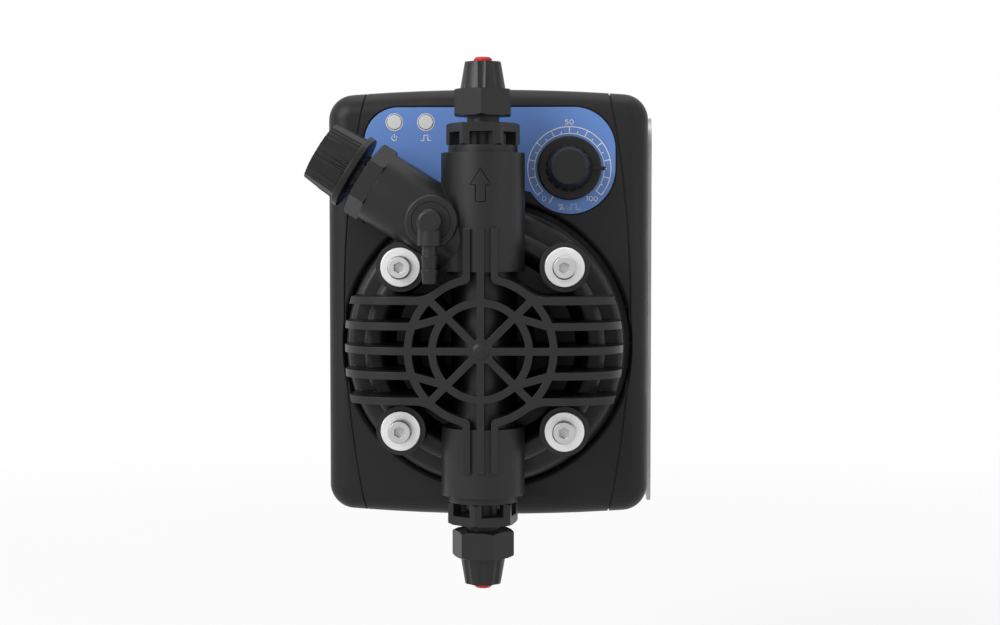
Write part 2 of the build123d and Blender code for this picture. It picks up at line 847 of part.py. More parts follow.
# ================================================================ ribbed web of the pump head
rib_back = floor_depth - through
upright_inner_x = upright_x - side_rib_w / 2
upright_outer_x = upright_x + side_rib_w / 2
upright_from = sqrt((outer_ring_r - rib_w / 2) ** 2 - upright_inner_x**2)
ring_top_z = sqrt((outer_ring_r + rib_w / 2) ** 2 - upright_outer_x**2)
with BuildPart() as rib_web:
    with BuildSketch(front(rib_back)) as web:
        Circle(outer_ring_r + rib_w / 2)
        Circle(outer_ring_r - rib_w / 2, mode=Mode.SUBTRACT)
        # the outer ring is open between the side uprights
        Rectangle(2 * upright_inner_x, 3 * outer_ring_r, mode=Mode.SUBTRACT)
        Circle(inner_ring_r + rib_w / 2)
        Circle(inner_ring_r - rib_w / 2, mode=Mode.SUBTRACT)
        Circle(hub_r)
        Rectangle(2 * web_r, rib_w)
        Rectangle(rib_w, 2 * upright_top_z)
        for turn in (45, 135):
            Rectangle(2 * outer_ring_r, rib_w, rotation=turn)
        node = inner_ring_r / sqrt(2)
        outer_node = outer_ring_r / sqrt(2)
        row_start = sqrt(outer_ring_r**2 - rib_rows_z[0] ** 2)
        for side in (-1, 1):
            for way in (-1, 1):
                with Locations((side * upright_x, way * (upright_from + upright_top_z) / 2)):
                    Rectangle(side_rib_w, upright_top_z - upright_from)
                for row_z, row_from in zip(rib_rows_z, (row_start, outer_node)):
                    with Locations((side * (row_from + web_r) / 2, way * row_z)):
                        Rectangle(web_r - row_from, rib_w)
                link_start = Vector(row_start, rib_rows_z[0])
                link_end = Vector(node, node)
                link = link_end - link_start
                middle = (link_start + link_end) / 2
                link_turn = side * way * degrees(asin(link.Y / -link.length))
                with Locations((side * middle.X, way * middle.Y)):
                    Rectangle(link.length + rib_w, rib_w, rotation=link_turn)
        swept = [
            corner
            for corner in web.vertices()
            if abs(abs(corner.Y) - rib_rows_z[1] - rib_w / 2) < 0.01 and abs(corner.X) < outer_ring_r
        ]
        fillet(swept, web_sweep_r)
        for corner_x, corner_z, corner_r in (
            (upright_inner_x, upright_from, web_turn_r),
            (upright_outer_x, ring_top_z, web_inside_r),
        ):
            corners = [
                corner
                for corner in web.vertices()
                if hypot(abs(corner.X) - corner_x, abs(corner.Y) - corner_z) < 0.05
            ]
            fillet(corners, corner_r)
    extrude(amount=web_front + through - rib_back)
    # the ribs' fronts curve back towards both sides, and their ends follow the flange
    with BuildSketch(Plane.XY.offset(-web_r)):
        with BuildLine():
            shoulder = web_r - web_round
            Line((-web_r, -rib_back), (-web_r, -web_front + web_round))
            RadiusArc((-web_r, -web_front + web_round), (-shoulder, -web_front), -web_round)
            Line((-shoulder, -web_front), (shoulder, -web_front))
            RadiusArc((shoulder, -web_front), (web_r, -web_front + web_round), -web_round)
            Line((web_r, -web_front + web_round), (web_r, -rib_back))
            Line((web_r, -rib_back), (-web_r, -rib_back))
        make_face()
    extrude(amount=2 * web_r, mode=Mode.INTERSECT)
    with BuildSketch(front(rib_back)):
        Circle(web_r)
    extrude(amount=web_front + through - rib_back, mode=Mode.INTERSECT)

# ================================================================ pump head
bleed_tilt_rad = radians(bleed_tilt)
bleed_way = Vector(-cos(bleed_tilt_rad), 0, sin(bleed_tilt_rad))


def bleed(distance):
    """Plane across the bleed valve's axis at this distance from the ports' axis."""
    origin = Vector(0, -port_depth, bleed_z) + bleed_way * distance
    return Plane(origin=origin, x_dir=(0, -1, 0), z_dir=bleed_way)


outlet_spot = (outlet_x, outlet_z)
outlet_axis = Plane(origin=(outlet_x, -outlet_boss_front, outlet_z), x_dir=(1, 0, 0), z_dir=(0, -1, 0))
with BuildPart() as pump_head:
    face_r = flange_r - flange_lip
    turned(
        front(0),
        [
            (0, head_back),
            (flange_r, head_back),
            (flange_r, flange_lip_depth),
            (face_r, flange_lip_depth),
            (face_r, flange_front),
            (ring_outer_r, flange_front),
            (ring_outer_r, ring_front),
            (ring_top_r, ring_front),
            (ring_foot_r, floor_depth),
            (0, floor_depth),
        ],
        rounds=(
            ((face_r, flange_front), flange_round),
            ((ring_outer_r, ring_front), ring_outer_round),
            ((ring_top_r, ring_front), ring_inner_round),
        ),
    )
    with BuildSketch(front(floor_depth - through)):
        with head_screw_spots:
            Circle(screw_boss_r)
    extrude(amount=screw_boss_front - floor_depth + through)
    with BuildSketch(upward(boss_bottom_z)):
        Circle(column_r)
    extrude(amount=boss_top_z - boss_bottom_z)
    with BuildSketch(front(floor_depth - through)):
        Rectangle(2 * column_r, 2 * upright_top_z)
    extrude(amount=port_depth - floor_depth + through)
    with BuildSketch(upward(boss_top_from_z)):
        Circle(boss_r)
    extrude(amount=boss_top_z - boss_top_from_z)
    with BuildSketch(downward(boss_bottom_from_z)):
        Circle(boss_r)
    extrude(amount=boss_bottom_from_z - boss_bottom_z)
    with BuildSketch(bleed(0)):
        Circle(bleed_boss_r)
    extrude(amount=bleed_boss_end)
    turned(
        outlet_axis,
        [
            (0, port_depth - outlet_boss_front),
            (outlet_boss_r, port_depth - outlet_boss_front),
            (outlet_boss_r, 0),
            (0, 0),
        ],
        rounds=(((outlet_boss_r, 0), outlet_round),),
    )
    add(rib_web.part)
    turned(
        front(web_front),
        [
            (0, -through),
            (hub_dome_r, -through),
            (hub_dome_r, hub_dome_edge_h),
            (hub_dome_bend_r, hub_dome_bend_h),
            (0, hub_dome_h),
        ],
    )
    # flow arrow, an outline cut into the upper boss
    with BuildSketch(front(port_depth + sqrt(boss_r**2 - arrow_half_w**2) - arrow_cut)):
        with BuildLine():
            arrow_base_z = arrow_tip_z - arrow_head_h
            Polyline(
                (0, arrow_tip_z),
                (arrow_half_w, arrow_base_z),
                (arrow_shaft_half_w, arrow_base_z),
                (arrow_shaft_half_w, arrow_tip_z - arrow_length),
                (-arrow_shaft_half_w, arrow_tip_z - arrow_length),
                (-arrow_shaft_half_w, arrow_base_z),
                (-arrow_half_w, arrow_base_z),
                close=True,
            )
        make_face()
        offset(amount=-arrow_line, kind=Kind.INTERSECTION, mode=Mode.SUBTRACT)
    extrude(amount=boss_r, mode=Mode.SUBTRACT)
    # flow ducts, wells for the valves and the bleed needle, and the diaphragm's seat
    with BuildSketch(upward(boss_bottom_z)):
        Circle(duct_r)
    extrude(amount=boss_top_z - boss_bottom_z, mode=Mode.SUBTRACT)
    with BuildSketch(downward(boss_top_z)):
        Circle(well_r)
    extrude(amount=discharge_well, mode=Mode.SUBTRACT)
    with BuildSketch(upward(boss_bottom_z)):
        Circle(well_r)
    extrude(amount=suction_well, mode=Mode.SUBTRACT)
    with BuildSketch(bleed(0)):
        Circle(bleed_seat_r)
    extrude(amount=bleed_well_from, mode=Mode.SUBTRACT)
    with BuildSketch(bleed(bleed_well_from)):
        Circle(bleed_well_r)
    extrude(amount=bleed_boss_end - bleed_well_from, mode=Mode.SUBTRACT)
    with BuildSketch(bleed(bush_well_from)):
        Circle(bush_well_r)
    extrude(amount=bleed_boss_end - bush_well_from, mode=Mode.SUBTRACT)
    with BuildSketch(front(outlet_well_floor)):
        with Locations(outlet_spot):
            Circle(outlet_well_r)
    extrude(amount=outlet_boss_front - outlet_well_floor, mode=Mode.SUBTRACT)
    with BuildSketch(front(port_depth)):
        with Locations(outlet_spot):
            Circle(outlet_duct_r)
    extrude(amount=outlet_boss_front - port_depth, mode=Mode.SUBTRACT)
    with BuildSketch(front(head_back)):
        Circle(diaphragm_r + fit_gap)
    extrude(amount=diaphragm_rim_t, mode=Mode.SUBTRACT)
    turned(
        front(head_back),
        [
            (0, 0),
            (chamber_r, 0),
            (chamber_r, diaphragm_rim_t),
            (diaphragm_hub_r, chamber_depth),
            (0, chamber_depth),
        ],
        mode=Mode.SUBTRACT,
    )
    with BuildSketch(front(head_back)):
        Circle(duct_r)
    extrude(amount=port_depth - head_back, mode=Mode.SUBTRACT)
    with BuildSketch(front(head_back)):
        with head_screw_spots:
            Circle(screw_r + slip_gap)
    extrude(amount=screw_boss_front - head_back, mode=Mode.SUBTRACT)
finish(pump_head, "pump_head")

# ================================================================ head screws and washers
with BuildPart() as head_washers:
    with BuildSketch(front(screw_boss_front)):
        with head_screw_spots:
            Circle(washer_r)
            Circle(screw_r + slip_gap, mode=Mode.SUBTRACT)
    extrude(amount=washer_t)
    chamfer(head_washers.faces().group_by(Axis.Y)[0].edges().group_by(SortBy.LENGTH)[-1], washer_bevel)
finish(head_washers, "head_washers")

screw_head_back = screw_boss_front + washer_t
screw_tip_depth = recess_floor - recess_wall - drive_plate_t + screw_tip_inset
with BuildPart() as head_screws:
    with BuildSketch(front(screw_head_back)):
        with head_screw_spots:
            Circle(screw_head_r)
    extrude(amount=screw_head_h)
    chamfer(head_screws.faces().group_by(Axis.Y)[0].edges(), screw_head_bevel)
    with BuildSketch(front(screw_tip_depth)):
        with head_screw_spots:
            Circle(screw_r)
    extrude(amount=screw_head_back - screw_tip_depth)
    with BuildSketch(front(screw_head_back + screw_head_h - screw_socket_depth)):
        with head_screw_spots:
            RegularPolygon(screw_socket_af / 2, 6, major_radius=False, rotation=30)
    extrude(amount=screw_socket_depth, mode=Mode.SUBTRACT)
finish(head_screws, "head_screws")

# ================================================================ support ring and diaphragm
with BuildPart() as support_ring:
    with BuildSketch(front(recess_floor)):
        Circle(support_r)
        Circle(support_bore_r, mode=Mode.SUBTRACT)
        with head_screw_spots:
            Circle(screw_r + slip_gap, mode=Mode.SUBTRACT)
    extrude(amount=head_back - recess_floor)
finish(support_ring, "support_ring")

insert_back = head_back - insert_t
with BuildPart() as diaphragm:
    turned(
        front(head_back),
        [
            (0, 0),
            (diaphragm_r, 0),
            (diaphragm_r, diaphragm_rim_t - seat_gap),
            (chamber_r + diaphragm_rim_slope, diaphragm_rim_t - seat_gap),
            (chamber_r - diaphragm_hub_slope, diaphragm_web_t),
            (diaphragm_hub_r, diaphragm_web_t),
            (diaphragm_hub_r - diaphragm_hub_slope, diaphragm_hub_t),
            (0, diaphragm_hub_t),
        ],
    )
finish(diaphragm, "diaphragm")

with BuildPart() as diaphragm_insert:
    with BuildSketch(front(insert_back)):
        Circle(insert_r)
        Circle(shaft_r, mode=Mode.SUBTRACT)
    extrude(amount=insert_t)
finish(diaphragm_insert, "diaphragm_insert")

# ================================================================ solenoid drive
plate_front = recess_floor - recess_wall
plate_back = plate_front - drive_plate_t
yoke_back = plate_back - yoke_length
pole_back = plate_back - pole_length
armature_front = pole_back - stroke - free_gap
armature_back = armature_front - armature_length
with BuildPart() as drive_plate:
    with BuildSketch(front(plate_back)):
        RectangleRounded(2 * drive_plate_half, 2 * drive_plate_half, drive_plate_corner_r)
        Circle(support_bore_r, mode=Mode.SUBTRACT)
        with head_screw_spots:
            Circle(screw_r + fit_gap, mode=Mode.SUBTRACT)
    extrude(amount=drive_plate_t)
finish(drive_plate, "drive_plate")

with BuildPart() as solenoid_yoke:
    turned(
        front(yoke_back),
        [
            (bumper_r, 0),
            (yoke_r, 0),
            (yoke_r, yoke_length),
            (yoke_r - yoke_wall, yoke_length),
            (yoke_r - yoke_wall, yoke_wall),
            (bumper_r, yoke_wall),
        ],
    )
finish(solenoid_yoke, "solenoid_yoke")

bobbin_back = yoke_back + yoke_wall
bobbin_front = plate_back
bobbin_flange_r = yoke_r - yoke_wall - slip_gap
with BuildPart() as coil_bobbin:
    turned(
        front(0),
        [
            (bobbin_bore_r, bobbin_back),
            (bobbin_flange_r, bobbin_back),
            (bobbin_flange_r, bobbin_back + bobbin_flange_t),
            (bobbin_bore_r + bobbin_wall, bobbin_back + bobbin_flange_t),
            (bobbin_bore_r + bobbin_wall, bobbin_front - bobbin_flange_t),
            (bobbin_flange_r, bobbin_front - bobbin_flange_t),
            (bobbin_flange_r, bobbin_front),
            (bobbin_bore_r, bobbin_front),
        ],
    )
finish(coil_bobbin, "coil_bobbin")

with BuildPart() as solenoid_coil:
    with BuildSketch(front(bobbin_back + bobbin_flange_t)):
        Circle(coil_r)
        Circle(bobbin_bore_r + bobbin_wall, mode=Mode.SUBTRACT)
    extrude(amount=bobbin_front - bobbin_back - 2 * bobbin_flange_t)
finish(solenoid_coil, "solenoid_coil")

bush_front = plate_front - bush_sunk
bush_back = bush_front - bush_length
spring_floor = pole_back + spring_well_depth
with BuildPart() as pole_piece:
    turned(
        front(0),
        [
            (bush_r, plate_front),
            (support_bore_r - fit_gap, plate_front),
            (support_bore_r - fit_gap, plate_back),
            (pole_r, plate_back),
            (pole_r, pole_back),
            (spring_well_r, pole_back),
            (spring_well_r, spring_floor),
            (shaft_r + free_gap, spring_floor),
            (shaft_r + free_gap, bush_back),
            (bush_r, bush_back),
        ],
    )
finish(pole_piece, "pole_piece")

with BuildPart() as shaft_bush:
    with BuildSketch(front(bush_back)):
        Circle(bush_r)
        Circle(shaft_r + fit_gap, mode=Mode.SUBTRACT)
    extrude(amount=bush_length)
finish(shaft_bush, "shaft_bush")

shaft_back_end = armature_back + shaft_from_end
with BuildPart() as armature:
    with BuildSketch(front(armature_back)):
        Circle(armature_r)
    extrude(amount=armature_length)
    chamfer(armature.faces().sort_by(Axis.Y)[-1].edges(), armature_bevel)
    with BuildSketch(front(shaft_back_end)):
        Circle(shaft_r)
    extrude(amount=armature_length, mode=Mode.SUBTRACT)
finish(armature, "armature")

with BuildPart() as armature_shaft:
    with BuildSketch(front(shaft_back_end)):
        Circle(shaft_r)
    extrude(amount=head_back - shaft_back_end)
finish(armature_shaft, "armature_shaft")

with BuildPart() as armature_bumper:
    with BuildSketch(front(armature_back - seat_gap - bumper_t)):
        Circle(bobbin_bore_r - slip_gap)
    extrude(amount=bumper_t)
    with BuildSketch(front(yoke_back)):
        Circle(bumper_r)
    extrude(amount=armature_back - seat_gap - bumper_t - yoke_back)
finish(armature_bumper, "armature_bumper")

spring_from = armature_front + spring_wire_r + seat_gap
spring_to = spring_floor - spring_wire_r - seat_gap
with BuildPart() as return_spring:
    with BuildLine() as coil_line:
        Helix(
            (spring_to - spring_from) / spring_turns,
            spring_to - spring_from,
            spring_mean_r,
            center=(0, -spring_from, 0),
            direction=(0, -1, 0),
        )
    with BuildSketch(Plane(origin=coil_line.line @ 0, z_dir=coil_line.line % 0)):
        Circle(spring_wire_r)
    sweep()
finish(return_spring, "return_spring")

# ================================================================ check valves and tube fittings
ball_rise = sqrt(ball_r**2 - seat_bore_r**2) + seat_gap
stop_rise = sqrt(ball_r**2 - seat_bore_r**2) + fit_gap


def valve_body(port, shank_length, chamber, turn):
    """Hexagonal holder: shank with an O-ring groove inwards, collar, windows, and a spigot outwards."""
    with BuildPart() as body:
        with BuildSketch(port.offset(-shank_length)):
            Circle(well_r - fit_gap)
        extrude(amount=shank_length)
        with BuildSketch(port):
            Circle(collar_r)
        extrude(amount=collar_h)
        add(hexagon(port.offset(collar_h), valve_hex_af, valve_hex_h, valve_hex_bevel, turn))
        with BuildSketch(port.offset(window_from)):
            with PolarLocations(valve_hex_af / 2, 6, start_angle=turn + 30):
                Rectangle(valve_hex_af, window_w)
            Circle(window_core_r, mode=Mode.SUBTRACT)
        extrude(amount=window_h, mode=Mode.SUBTRACT)
        with BuildSketch(port.offset(collar_h + valve_hex_h)):
            Circle(spigot_r)
        extrude(amount=spigot_length)
        groove_floor = well_r - 2 * oring_r
        turned(
            port.offset(-oring_from_end),
            [
                (groove_floor, -oring_r - oring_gap),
                (well_r, -oring_r - oring_gap),
                (well_r, oring_r + oring_gap),
                (groove_floor, oring_r + oring_gap),
            ],
            mode=Mode.SUBTRACT,
        )
        with BuildSketch(port.offset(-shank_length)):
            Circle(seat_bore_r)
        extrude(amount=shank_length + collar_h + valve_hex_h + spigot_length, mode=Mode.SUBTRACT)
        if chamber > 0:
            with BuildSketch(port.offset(-shank_length)):
                Circle(cage_r)
            extrude(amount=chamber, mode=Mode.SUBTRACT)
    return body


def oring(plane, ring_r, cord_r):
    """Round sealing ring about the plane's axis."""
    with BuildPart() as ring:
        with BuildSketch(Plane(origin=plane.origin, x_dir=plane.x_dir, z_dir=-plane.y_dir)) as section:
            with Locations((ring_r, 0)):
                Circle(cord_r)
        revolve(section.sketch, axis=Axis(plane.origin, plane.z_dir))
    return ring


def tube_nut(plane, turn):
    """Hexagonal nut that ends in a fluted cone, bored for the spigot and the tube."""
    cone_taper = degrees(asin((cone_base_r - cone_tip_r) / hypot(cone_h, cone_base_r - cone_tip_r)))
    with BuildPart() as nut:
        add(hexagon(plane, nut_af, nut_hex_h, nut_bevel, turn))
        with BuildSketch(plane.offset(nut_hex_h)):
            Circle(cone_base_r)
            with PolarLocations(cone_base_r + cone_flute_r - cone_flute_depth, cone_flutes):
                Circle(cone_flute_r, mode=Mode.SUBTRACT)
        extrude(amount=cone_h, taper=cone_taper)
        with BuildSketch(plane):
            Circle(spigot_r + fit_gap)
        extrude(amount=spigot_length - spigot_neck + ferrule_h, mode=Mode.SUBTRACT)
        with BuildSketch(plane):
            Circle(tube_r)
        extrude(amount=nut_hex_h + cone_h, mode=Mode.SUBTRACT)
    return nut


def ferrule(plane):
    """Clamping ring between the spigot's end and the nut."""
    with BuildPart() as ring:
        with BuildSketch(plane.offset(spigot_length - spigot_neck)):
            Circle(spigot_r - fit_gap)
            Circle(tube_r, mode=Mode.SUBTRACT)
        extrude(amount=ferrule_h)
    return ring


def tube_plug(plane):
    """Transport plug that closes the tube's bore down to the spigot."""
    plug_from = spigot_length - spigot_neck + seat_gap
    plug_to = nut_hex_h + cone_h + plug_proud
    with BuildPart() as plug:
        with BuildSketch(plane.offset(plug_from)):
            Circle(plug_r)
        extrude(amount=plug_to - plug_from)
        rims = plug.edges().filter_by(GeomType.CIRCLE)
        chamfer(rims.sort_by(Axis(plane.origin, plane.z_dir))[-1], plug_bevel)
    return plug


def seat_ring(plane, bore_r):
    """Ring of the ball's seat, or of its cage."""
    with BuildPart() as ring:
        with BuildSketch(plane):
            Circle(well_r - slip_gap)
            Circle(bore_r, mode=Mode.SUBTRACT)
        extrude(amount=seat_h)
    return ring


def valve_ball(z):
    """Check ball at rest on the seat whose upper edge is at this height."""
    with BuildPart() as ball:
        with Locations((0, -port_depth, z + ball_rise)):
            Sphere(ball_r)
    return ball


# discharge side: seat at the foot of the well, the ball in the holder's chamber
discharge_end = upward(boss_top_z)
discharge_seat_z = boss_top_z - discharge_well
discharge_shank = discharge_well - seat_h
chamber = ball_rise + ball_lift + stop_rise
discharge_seat = seat_ring(upward(discharge_seat_z), seat_bore_r)
finish(discharge_seat, "discharge_seat")
discharge_ball = valve_ball(discharge_seat_z + seat_h)
finish(discharge_ball, "discharge_ball")
discharge_valve = valve_body(discharge_end, discharge_shank, chamber, discharge_hex_turn)
finish(discharge_valve, "discharge_valve")

# suction side: a cage at the head of the well, the seat below it on the holder's shank
suction_end = downward(boss_bottom_z)
cage_top_z = boss_bottom_z + suction_well
cage_h = ball_rise + ball_lift + sqrt(ball_r**2 - duct_r**2) + fit_gap
suction_seat_z = cage_top_z - cage_h - seat_h
with BuildPart() as suction_cage:
    with BuildSketch(upward(cage_top_z - cage_h)):
        Circle(well_r - slip_gap)
        Circle(cage_r, mode=Mode.SUBTRACT)
    extrude(amount=cage_h)
finish(suction_cage, "suction_cage")
suction_seat = seat_ring(upward(suction_seat_z), seat_bore_r)
finish(suction_seat, "suction_seat")
suction_ball = valve_ball(suction_seat_z + seat_h)
finish(suction_ball, "suction_ball")
suction_valve = valve_body(suction_end, suction_seat_z - boss_bottom_z, 0, suction_hex_turn)
finish(suction_valve, "suction_valve")

# the same fittings on both ports
nut_from = collar_h + valve_hex_h + spigot_neck
for side, end, turn in (
    ("discharge", discharge_end, discharge_nut_turn),
    ("suction", suction_end, suction_nut_turn),
):
    ring_r = well_r - oring_r - oring_gap
    finish(oring(end.offset(-oring_from_end), ring_r, oring_r - oring_gap), f"{side}_oring")
    finish(tube_nut(end.offset(nut_from), turn), f"{side}_nut")
    finish(ferrule(end.offset(nut_from)), f"{side}_ferrule")
    finish(tube_plug(end.offset(nut_from)), f"{side}_plug")

# ================================================================ bleed valve
with BuildPart() as bleed_bush:
    add(hexagon(bleed(bleed_boss_end), bleed_hex_af, bleed_hex_h, bleed_hex_bevel, bleed_hex_turn))
    with BuildSketch(bleed(bush_well_from + free_gap)):
        Circle(bush_well_r - fit_gap)
    extrude(amount=bleed_boss_end - bush_well_from - free_gap)
    with BuildSketch(bleed(bleed_boss_end + bleed_hex_h)):
        with PolarLocations(bleed_lug_r, bleed_lugs):
            Rectangle(bleed_lug_t, bleed_lug_w)
    extrude(amount=bleed_lug_h)
    with BuildSketch(bleed(bush_well_from)):
        Circle(needle_r + fit_gap)
    extrude(amount=bleed_boss_end + bleed_hex_h - bush_well_from, mode=Mode.SUBTRACT)
finish(bleed_bush, "bleed_bush")

# the needle's cone closes the seat at the foot of its well
cone_slope = (needle_r - needle_tip_r) / needle_cone
needle_from = bleed_well_from - (bleed_seat_r - seat_gap - needle_tip_r) / cone_slope
needle_groove_r = bleed_well_r - fit_gap - 2 * oring_r
with BuildPart() as bleed_needle:
    turned(
        bleed(0),
        [
            (0, needle_from),
            (needle_tip_r, needle_from),
            (needle_r, needle_from + needle_cone),
            (needle_r, needle_groove_from - oring_gap),
            (needle_groove_r - oring_gap, needle_groove_from - oring_gap),
            (needle_groove_r - oring_gap, needle_groove_from + 2 * oring_r + oring_gap),
            (needle_r, needle_groove_from + 2 * oring_r + oring_gap),
            (needle_r, needle_end),
            (0, needle_end),
        ],
    )
finish(bleed_needle, "bleed_needle")
bleed_oring = oring(bleed(needle_groove_from + oring_r), needle_groove_r + oring_r, oring_r)
finish(bleed_oring, "bleed_oring")

knob_from = bleed_boss_end + bleed_hex_h + knob_gap
knob_narrows = knob_r - knob_end_r
knob_taper = degrees(asin(knob_narrows / hypot(knob_length, knob_narrows)))
with BuildPart() as bleed_knob:
    with BuildSketch(bleed(knob_from)):
        Circle(knob_flange_r)
    extrude(amount=knob_flange_t)
    fillet(bleed_knob.edges(), knob_flange_round)
    with BuildSketch(bleed(knob_from + knob_flange_t)):
        Circle(knob_r)
        for flat in range(knob_flats):
            middle_deg = 360 / knob_flats * flat
            for groove in range(knob_grooves_per_flat):
                turn = middle_deg + (groove - (knob_grooves_per_flat - 1) / 2) * knob_groove_deg
                with PolarLocations(knob_r, 1, start_angle=turn):
                    Circle(knob_groove_r, mode=Mode.SUBTRACT)
        with PolarLocations(knob_r, knob_flats, start_angle=180 / knob_flats):
            Rectangle(2 * knob_flat_cut, knob_flat_w, mode=Mode.SUBTRACT)
    extrude(amount=knob_length, taper=knob_taper)
    with BuildSketch(bleed(knob_from)):
        Circle(needle_r + fit_gap)
    extrude(amount=needle_end - knob_from + free_gap, mode=Mode.SUBTRACT)
finish(bleed_knob, "bleed_knob")

# ================================================================ bleed elbow
elbow_axis_depth = outlet_boss_front + elbow_reach
hose_axis = Plane(origin=(outlet_x, -elbow_axis_depth, outlet_z), x_dir=(1, 0, 0), z_dir=(0, 0, -1))
elbow_spigot = outlet_boss_front - outlet_well_floor - free_gap
elbow_groove_r = outlet_well_r - fit_gap - 2 * oring_r
elbow_groove_from = elbow_lip - elbow_spigot
elbow_groove_to = elbow_groove_from + 2 * (oring_r + oring_gap)
with BuildPart() as bleed_elbow:
    turned(
        outlet_axis,
        [
            (0, -elbow_spigot),
            (outlet_well_r - fit_gap, -elbow_spigot),
            (outlet_well_r - fit_gap, elbow_groove_from),
            (elbow_groove_r - oring_gap, elbow_groove_from),
            (elbow_groove_r - oring_gap, elbow_groove_to),
            (outlet_well_r - fit_gap, elbow_groove_to),
            (outlet_well_r - fit_gap, -slip_gap),
            (elbow_knee_r, -slip_gap),
            (elbow_knee_r, elbow_reach + elbow_body_r),
            (0, elbow_reach + elbow_body_r),
        ],
        rounds=(((elbow_knee_r, elbow_reach + elbow_body_r), elbow_knee_round),),
    )
    with BuildSketch(hose_axis):
        Circle(elbow_body_r)
    extrude(amount=elbow_body_drop)
    with BuildSketch(hose_axis):
        Circle(elbow_neck_r)
    extrude(amount=elbow_neck_drop)
    for barb in range(barb_count):
        start = elbow_neck_drop + barb * barb_length
        turned(
            hose_axis.offset(start),
            [(0, 0), (barb_r, 0), (barb_r, barb_edge), (barb_tip_r, barb_length), (0, barb_length)],
        )
    with BuildSketch(hose_axis):
        Circle(elbow_bore_r)
    extrude(amount=elbow_neck_drop + barb_count * barb_length, mode=Mode.SUBTRACT)
    with BuildSketch(outlet_axis.offset(-elbow_spigot)):
        Circle(elbow_bore_r)
    extrude(amount=elbow_spigot + elbow_reach, mode=Mode.SUBTRACT)
finish(bleed_elbow, "bleed_elbow")
elbow_oring = oring(
    outlet_axis.offset((elbow_groove_from + elbow_groove_to) / 2), elbow_groove_r + oring_r, oring_r
)
finish(elbow_oring, "elbow_oring")
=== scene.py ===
import json
from math import cos, degrees, pi, radians, sin

import bmesh
import bpy
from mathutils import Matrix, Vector


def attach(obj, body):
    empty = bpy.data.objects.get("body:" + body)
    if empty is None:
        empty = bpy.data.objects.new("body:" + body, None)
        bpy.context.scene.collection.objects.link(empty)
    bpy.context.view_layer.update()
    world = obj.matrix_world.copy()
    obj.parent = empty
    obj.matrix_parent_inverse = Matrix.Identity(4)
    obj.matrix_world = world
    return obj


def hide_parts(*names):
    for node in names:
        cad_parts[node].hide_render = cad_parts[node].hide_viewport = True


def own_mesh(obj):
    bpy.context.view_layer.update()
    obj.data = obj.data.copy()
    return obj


# Looks of the diaphragm metering pump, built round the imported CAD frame. Metres, the CAD's own frame.

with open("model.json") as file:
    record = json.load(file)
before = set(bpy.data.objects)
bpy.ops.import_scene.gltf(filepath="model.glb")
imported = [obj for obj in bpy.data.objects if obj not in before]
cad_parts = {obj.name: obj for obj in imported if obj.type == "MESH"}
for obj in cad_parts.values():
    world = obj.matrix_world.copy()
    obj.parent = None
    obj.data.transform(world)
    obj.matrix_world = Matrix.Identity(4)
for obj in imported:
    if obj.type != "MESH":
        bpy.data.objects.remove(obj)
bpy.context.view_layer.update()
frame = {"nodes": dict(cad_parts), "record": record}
nodes = frame["nodes"]
scene = bpy.context.scene
MM = 0.001


# ---------------------------------------------------------------- material building blocks
edge_samples = 6               # of the bevel that rolls the normal
edge_starts = 0.995            # rolled normal against the surface's own, where the paler edge starts (rubbing, and on the label a painted highlight)
edge_full = 0.86               # and where it is complete


